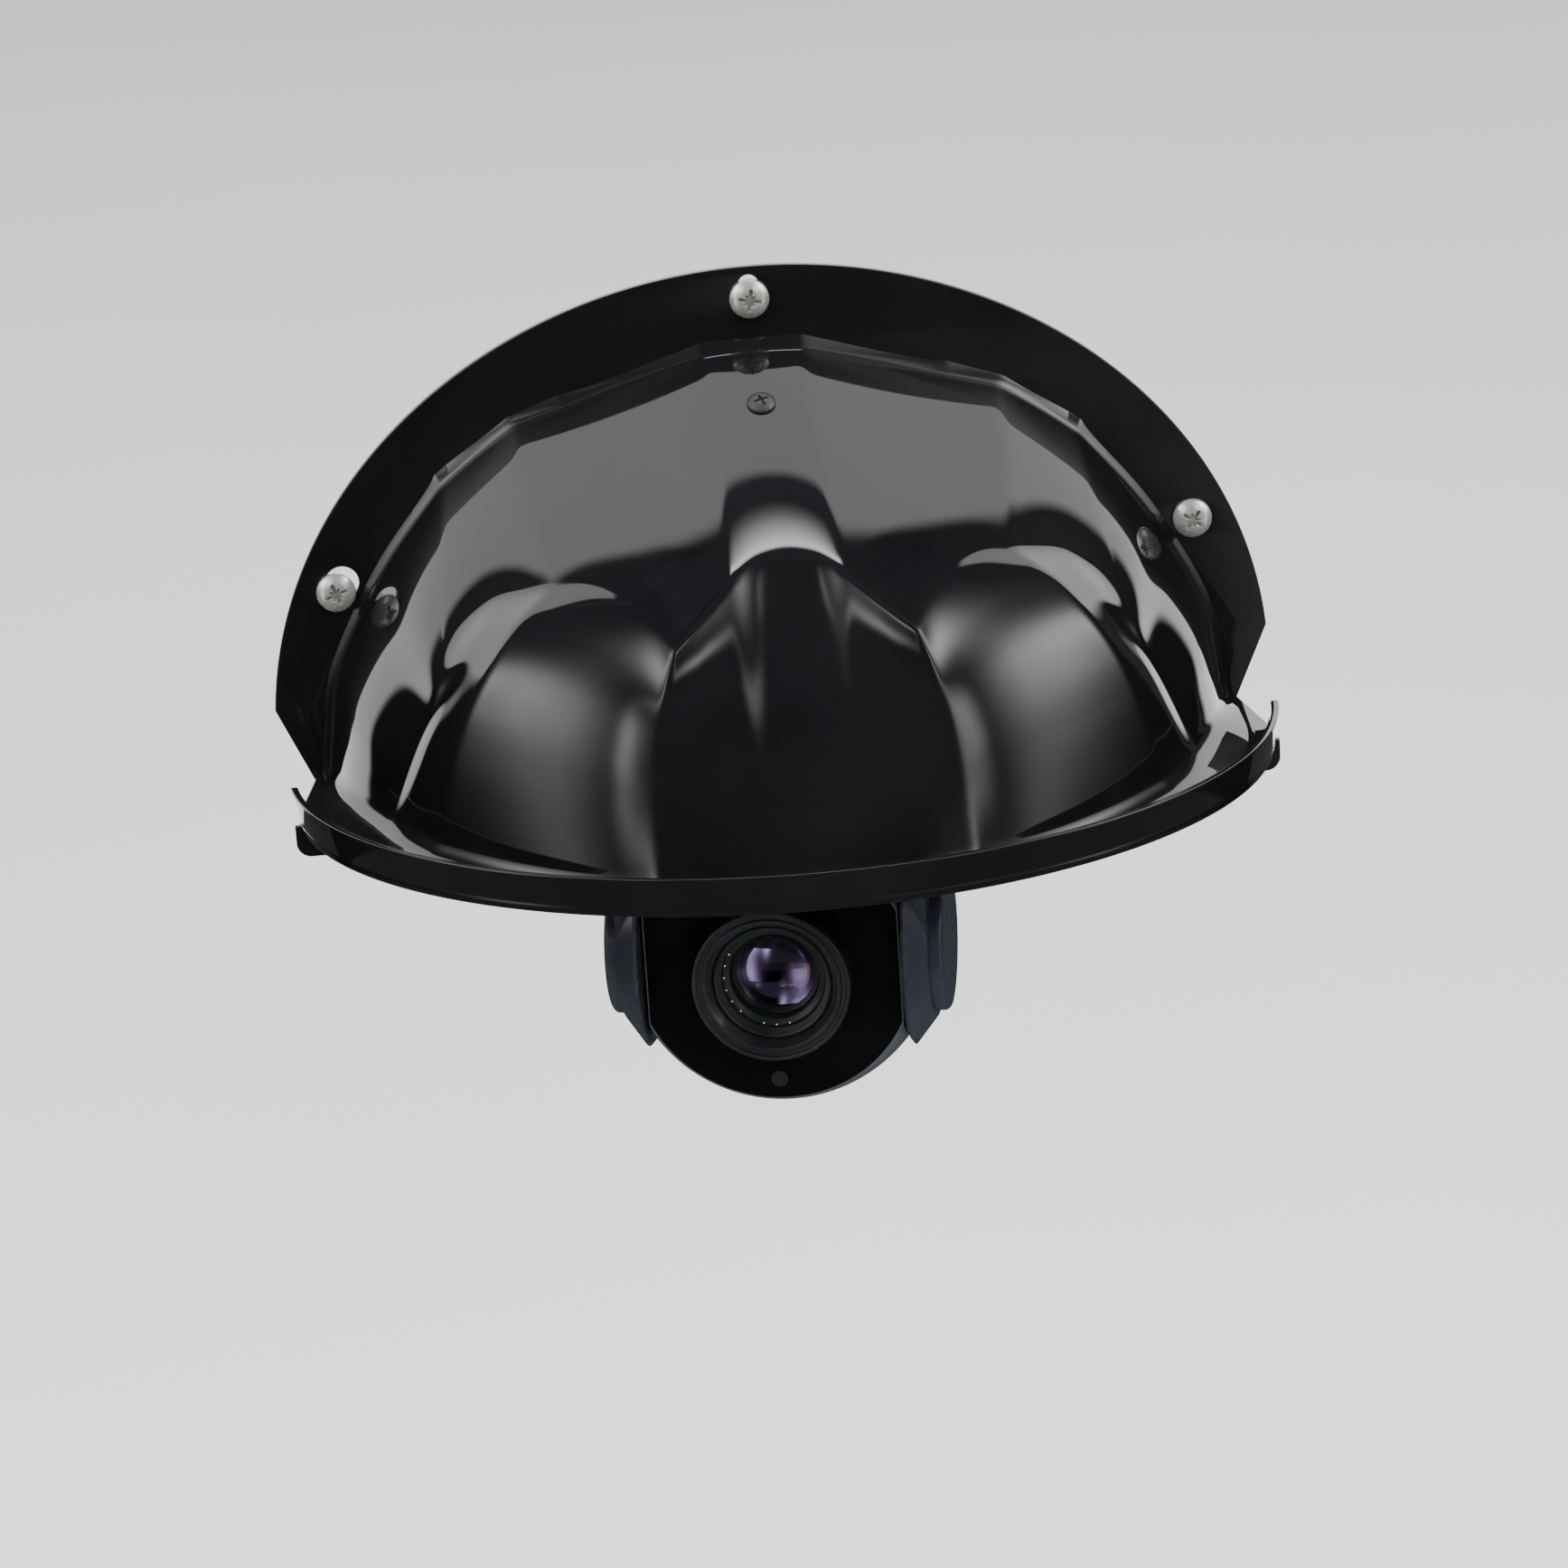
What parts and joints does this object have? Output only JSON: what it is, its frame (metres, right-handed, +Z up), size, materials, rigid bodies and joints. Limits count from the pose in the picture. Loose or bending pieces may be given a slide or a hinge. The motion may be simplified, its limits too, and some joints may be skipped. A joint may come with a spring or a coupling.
{
  "type": "dome cctv camera",
  "caption": "Pan-tilt-zoom security camera with a ball head in a yoke, hung from a steel wall bracket under a faceted glossy rain hood with a gutter brim.",
  "frame": {"origin": "on the wall plane, in the hood's centre plane, level with the underside of the brim", "axes": "+X to the right as seen from the front, +Y into the wall, +Z up"},
  "size_m": [0.2406, 0.1411, 0.1915],
  "materials": {
    "hood_gloss": "high gloss moulded black",
    "stainless": "bright stainless",
    "black_steel": "black oxide",
    "zinc_steel": "zinc plated",
    "bracket_steel": "black powder coat",
    "base_plastic": "satin, fine grain",
    "seal_rubber": "matt",
    "gland_plastic": "satin",
    "circuit_board": "solder mask",
    "inner_steel": "satin",
    "belt_rubber": "matt",
    "bearing_steel": "polished",
    "pulley_brass": "turned brass",
    "yoke_plastic": "satin, fine grain",
    "pulley_nylon": "moulded nylon",
    "head_plastic": "satin, fine grain",
    "plate_gloss": "high gloss",
    "bezel_plastic": "semi-gloss",
    "lens_black": "matt anodised look",
    "coated_glass": "coated, polished",
    "sensor_window": "dark window"
  },
  "bodies": {
    "mount": {"hood": "hood_gloss", "wall_screws": "stainless", "roof_screw": "black_steel", "roof_nut": "zinc_steel", "wall_bracket": "bracket_steel", "bracket_screws": "zinc_steel", "base_lid": "base_plastic", "base_gasket": "seal_rubber", "base_housing": "base_plastic", "lid_screws": "zinc_steel", "cable_gland": "gland_plastic", "gland_nut": "gland_plastic", "main_board": "circuit_board", "drive_plate": "inner_steel", "pan_motor": "inner_steel", "pan_belt": "belt_rubber", "pan_bearing_outer": "bearing_steel"},
    "pan_pinion": {"pan_motor_pulley": "pulley_brass"},
    "yoke": {"yoke": "yoke_plastic", "pan_bearing_inner": "bearing_steel", "bearing_balls": "bearing_steel", "pan_pulley": "pulley_nylon", "pulley_screws": "zinc_steel", "ear_cover_left": "yoke_plastic", "ear_cover_right": "yoke_plastic", "tilt_shaft_left": "pulley_nylon", "tilt_shaft_right": "inner_steel", "shaft_nuts": "zinc_steel"},
    "head": {"head_front": "head_plastic", "head_rear": "head_plastic", "head_screws": "zinc_steel", "front_plate": "plate_gloss", "lens_bezel": "bezel_plastic", "lens_barrel": "lens_black", "name_ring": "lens_black", "front_glass": "coated_glass", "light_sensor": "sensor_window", "lens_block": "lens_black", "sensor_board": "circuit_board", "board_screws": "zinc_steel", "tilt_bushes": "pulley_nylon", "tilt_motor": "inner_steel", "tilt_belt": "belt_rubber"},
    "tilt_pinion": {"tilt_motor_pulley": "pulley_brass"},
    "zoom_cam": {"zoom_cam": "lens_black"},
    "zoom_group": {"zoom_group": "lens_black", "zoom_glass": "coated_glass"}
  },
  "joints": [
    {"name": "pan", "type": "hinge", "parent": "mount", "child": "yoke", "pos_m": [-0.0052, -0.046, 0], "axis": [0, 0, 1], "range_deg": [-162.4, 187.6]},
    {"name": "tilt", "type": "hinge", "parent": "yoke", "child": "head", "pos_m": [-0.0052, -0.046, -0.0344], "axis": [0.9759, -0.2181, 0], "range_deg": [-15, 90]},
    {"name": "pan_motor_turn", "type": "hinge", "parent": "mount", "child": "pan_pinion", "pos_m": [0.0198, -0.046, 0], "axis": [0, 0, 1], "range_deg": [-552.2, 637.9]},
    {"name": "tilt_motor_turn", "type": "hinge", "parent": "head", "child": "tilt_pinion", "pos_m": [-0.02676, -0.02786, -0.0214], "axis": [0.9759, -0.2181, 0], "range_deg": [-240, 40]},
    {"name": "zoom_cam_turn", "type": "hinge", "parent": "head", "child": "zoom_cam", "pos_m": [-0.00629, -0.05088, -0.0374], "axis": [-0.2181, -0.9759, 0], "range_deg": [0, 100]},
    {"name": "zoom_slide", "type": "slide", "parent": "head", "child": "zoom_group", "axis": [-0.2181, -0.9759, 0], "range_m": [0, 0.005]}
  ],
  "couplings": [
    {"joint": "pan_motor_turn", "follows": "pan", "ratio": 3.4},
    {"joint": "tilt_motor_turn", "follows": "tilt", "ratio": -2.6667},
    {"joint": "zoom_slide", "follows": "zoom_cam_turn", "m_per_rad": 0.0028648}
  ]
}
